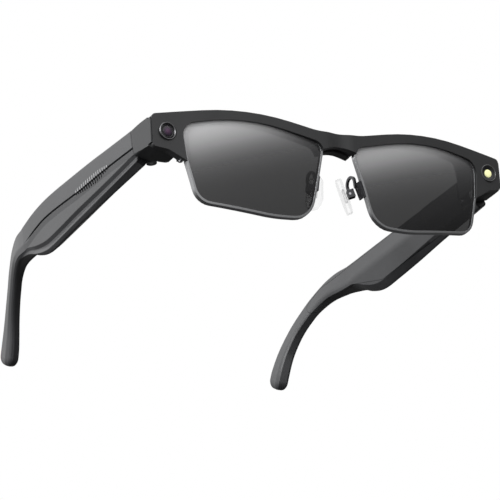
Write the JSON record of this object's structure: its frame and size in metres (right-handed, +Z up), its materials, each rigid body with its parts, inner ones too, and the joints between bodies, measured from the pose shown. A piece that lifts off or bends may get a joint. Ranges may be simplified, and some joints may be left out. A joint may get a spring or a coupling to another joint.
{
  "type": "smart glasses",
  "caption": "Half-rim sunglasses with a camera and a lamp in the brow, rocking nose pads and folding temples that hold speakers, battery and circuit boards.",
  "frame": {"origin": "middle of the outline, on the flat surface that the rims and the ear tips rest on", "axes": "X to the wearer's left, Y from the lenses back to the ear tips, Z up"},
  "size_m": [0.1496, 0.1581, 0.0377],
  "materials": {
    "front_black": "satin black moulded front",
    "rear_black": "matt black moulded shell",
    "temple_black": "satin black moulded shell",
    "cover_black": "satin black inner cover",
    "rim_metal": "polished gunmetal",
    "bridge_metal": "dark gunmetal",
    "lens_tint": "smoke tint, fading darker downwards",
    "arm_metal": "black wire",
    "ring_metal": "bright turned ring",
    "camera_window": "clear window",
    "barrel_black": "black lens barrel",
    "board_green": "circuit board",
    "lamp_diffuser": "pale yellow diffuser",
    "flex_film": "amber film",
    "hinge_steel": "dark brushed",
    "screw_steel": "plain",
    "silicone": "clear silicone",
    "pad_core": "clear stiff plastic",
    "spring_steel": "plain",
    "battery_foil": "foil pouch",
    "speaker_body": "black box",
    "mesh_cloth": "fine black mesh",
    "mic_can": "pressed can",
    "pin_gold": "gold plated",
    "magnet": "nickel plated",
    "guide_clear": "clear light guide",
    "button_black": "satin black",
    "switch_metal": "pressed can"
  },
  "bodies": {
    "front": {"front_cover": "front_black", "rear_shell": "rear_black", "rim_right": "rim_metal", "rim_left": "rim_metal", "bridge_bar": "bridge_metal", "lens_right": "lens_tint", "lens_left": "lens_tint", "pad_arm_right": "arm_metal", "pad_arm_left": "arm_metal", "camera_ring": "ring_metal", "camera_glass": "camera_window", "camera_barrel": "barrel_black", "camera_board": "board_green", "lamp_ring": "ring_metal", "lamp_lens": "lamp_diffuser", "lamp_board": "board_green", "brow_flex": "flex_film", "front_leaf_right": "hinge_steel", "front_leaf_left": "hinge_steel", "hinge_screws": "screw_steel", "leaf_screws_front": "screw_steel", "rim_screws": "screw_steel", "cover_screws": "screw_steel", "pad_screws": "screw_steel"},
    "nose_pad_right": {"pad_right": "silicone", "pad_core_right": "pad_core"},
    "nose_pad_left": {"pad_left": "silicone", "pad_core_left": "pad_core"},
    "temple_right": {"temple_shell_right": "temple_black", "inner_cover_right": "cover_black", "temple_leaf_right": "hinge_steel", "leaf_screws_right": "screw_steel", "tip_core_right": "spring_steel", "battery_right": "battery_foil", "main_board": "board_green", "speaker_right": "speaker_body", "speaker_mesh_right": "mesh_cloth", "microphone_right": "mic_can", "charge_pins": "pin_gold", "charge_magnets": "magnet", "light_guide": "guide_clear", "capture_switch": "switch_metal"},
    "temple_left": {"temple_shell_left": "temple_black", "inner_cover_left": "cover_black", "temple_leaf_left": "hinge_steel", "leaf_screws_left": "screw_steel", "tip_core_left": "spring_steel", "battery_left": "battery_foil", "side_board": "board_green", "speaker_left": "speaker_body", "speaker_mesh_left": "mesh_cloth", "microphone_left": "mic_can", "power_switch": "switch_metal"},
    "capture_button": {"capture_button": "button_black"},
    "power_button": {"power_button": "button_black"}
  },
  "joints": [
    {"name": "temple_right_fold", "type": "hinge", "parent": "front", "child": "temple_right", "pos_m": [-0.0665, -0.058, 0.0271], "axis": [0, 0, -1], "range_deg": [0, 90]},
    {"name": "temple_left_fold", "type": "hinge", "parent": "front", "child": "temple_left", "pos_m": [0.0665, -0.058, 0.0271], "axis": [0, 0, 1], "range_deg": [0, 78]},
    {"name": "nose_pad_right_rock", "type": "hinge", "parent": "front", "child": "nose_pad_right", "pos_m": [-0.00806, -0.0682, 0.01476], "axis": [-0.4555, 0.8829, 0.1136], "range_deg": [-8, 8]},
    {"name": "nose_pad_left_rock", "type": "hinge", "parent": "front", "child": "nose_pad_left", "pos_m": [0.00806, -0.0682, 0.01476], "axis": [0.4555, 0.8829, 0.1136], "range_deg": [-8, 8]},
    {"name": "capture_button_press", "type": "slide", "parent": "temple_right", "child": "capture_button", "axis": [0, 0, -1], "range_m": [0, 0.0005], "stiffness_N_per_m": 2000},
    {"name": "power_button_press", "type": "slide", "parent": "temple_left", "child": "power_button", "axis": [0, 0, -1], "range_m": [0, 0.0005], "stiffness_N_per_m": 2000}
  ]
}
